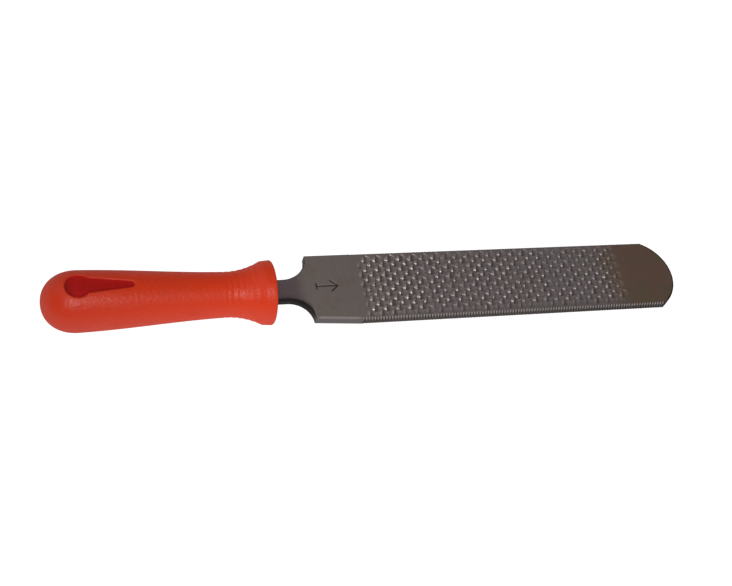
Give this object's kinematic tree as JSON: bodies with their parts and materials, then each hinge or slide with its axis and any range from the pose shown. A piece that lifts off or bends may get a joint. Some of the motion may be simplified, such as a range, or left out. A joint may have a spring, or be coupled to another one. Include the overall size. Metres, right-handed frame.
{
  "type": "farrier rasp",
  "caption": "Flat steel hoof rasp with staggered coarse teeth, toothed edges and a file side, on a moulded plastic handle with a hanging eye.",
  "frame": {"origin": "on the file face of the blade, in the middle of the shoulder line where the blade begins", "axes": "+X along the blade to its tip, +Y to the blade's far edge, +Z out through the coarse face"},
  "size_m": [0.3294, 0.038, 0.0318],
  "materials": {
    "blade_steel": "dark satin tool steel, brightened on the tooth points",
    "handle_plastic": "red-orange moulded plastic with a fine orange-peel surface"
  },
  "bodies": {
    "blade": {"rasp_blade": "blade_steel"},
    "handle": {"handle": "handle_plastic"}
  },
  "joints": [
    {"name": "handle_pull", "type": "slide", "parent": "blade", "child": "handle", "axis": [-1, 0, 0], "range_m": [0, 0.056]}
  ]
}
